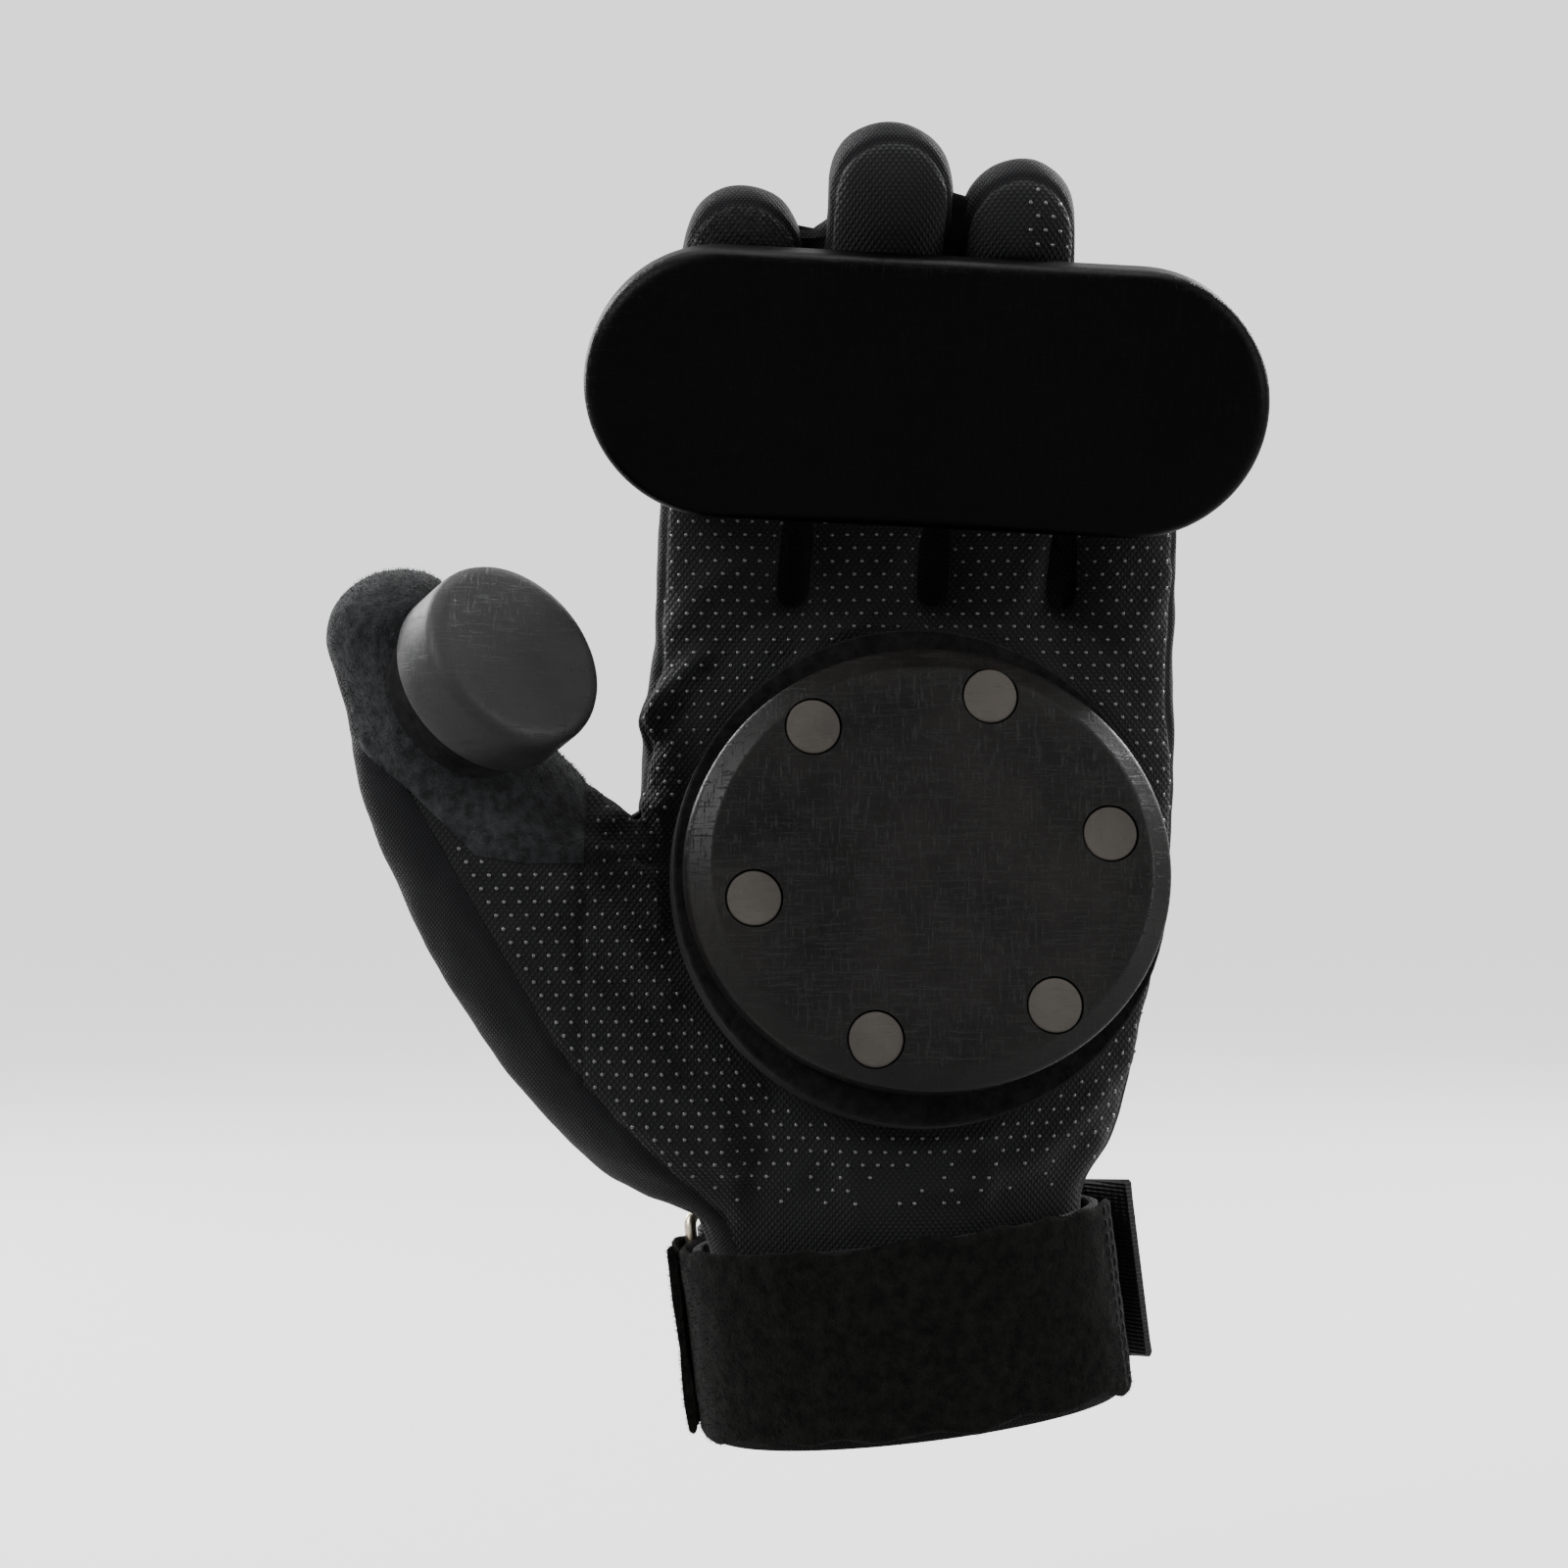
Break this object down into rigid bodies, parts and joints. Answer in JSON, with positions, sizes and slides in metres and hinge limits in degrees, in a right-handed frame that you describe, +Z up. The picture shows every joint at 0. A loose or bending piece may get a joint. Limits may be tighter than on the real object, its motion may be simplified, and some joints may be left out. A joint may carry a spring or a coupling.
{
  "type": "slide glove",
  "caption": "Left-hand skate slide glove in its worn shape: palm, finger and thumb sliders, knuckle armour, dotted grip palm and a wrist strap.",
  "frame": {"origin": "centre of the wrist opening", "axes": "+Z up to the fingertips, palm facing -Y, thumb at -X, back of the hand at +Y"},
  "size_m": [0.1736, 0.0841, 0.2508],
  "materials": {
    "grip_cloth": "black knit with raised silicone dots",
    "knit": "blue-black knit",
    "gusset_cloth": "fine black stretch cloth",
    "fleece": "black loop fleece",
    "webbing": "black ribbed nylon webbing",
    "ring_metal": "worn bright metal",
    "puck_plastic": "matte grey-black plastic, scuffed",
    "stud_plastic": "matte brown-grey plastic",
    "bar_plastic": "smooth near-black plastic",
    "pad_foam": "black hook-faced foam",
    "trim_rubber": "black soft rubber, satin",
    "shell_plastic": "black hard plastic, glossy",
    "white_inlay": "white soft rubber",
    "yellow_inlay": "yellow soft rubber"
  },
  "bodies": {
    "root": {"palm_panel": "grip_cloth", "back_panel": "knit", "side_gusset": "gusset_cloth", "thumb_side": "gusset_cloth", "thumb_front": "fleece", "cuff": "knit", "wrist_band": "fleece", "strap": "webbing", "strap_ring": "ring_metal", "palm_puck": "puck_plastic", "palm_pad": "pad_foam", "finger_bar": "bar_plastic", "thumb_puck": "puck_plastic", "thumb_pad": "pad_foam", "knuckle_plate": "trim_rubber", "knuckle_shell": "shell_plastic", "wave_stripe": "white_inlay", "puck_stud_1": "stud_plastic", "puck_stud_2": "stud_plastic", "puck_stud_3": "stud_plastic", "puck_stud_4": "stud_plastic", "puck_stud_5": "stud_plastic", "puck_stud_6": "stud_plastic", "crescent_index": "white_inlay", "guard_rim_index": "trim_rubber", "guard_dome_index": "shell_plastic", "badge_index": "trim_rubber", "badge_dot_index_1": "yellow_inlay", "badge_dot_index_2": "yellow_inlay", "badge_dot_index_3": "yellow_inlay", "crescent_middle": "white_inlay", "guard_rim_middle": "trim_rubber", "guard_dome_middle": "shell_plastic", "badge_middle": "trim_rubber", "badge_dot_middle_1": "yellow_inlay", "badge_dot_middle_2": "yellow_inlay", "badge_dot_middle_3": "yellow_inlay", "crescent_ring": "white_inlay", "guard_rim_ring": "trim_rubber", "guard_dome_ring": "shell_plastic", "badge_ring": "trim_rubber", "badge_dot_ring_1": "yellow_inlay", "badge_dot_ring_2": "yellow_inlay", "badge_dot_ring_3": "yellow_inlay", "crescent_pinky": "white_inlay", "guard_rim_pinky": "trim_rubber", "guard_dome_pinky": "shell_plastic", "badge_pinky": "trim_rubber", "badge_dot_pinky_1": "yellow_inlay", "badge_dot_pinky_2": "yellow_inlay", "badge_dot_pinky_3": "yellow_inlay"}
  },
  "joints": []
}
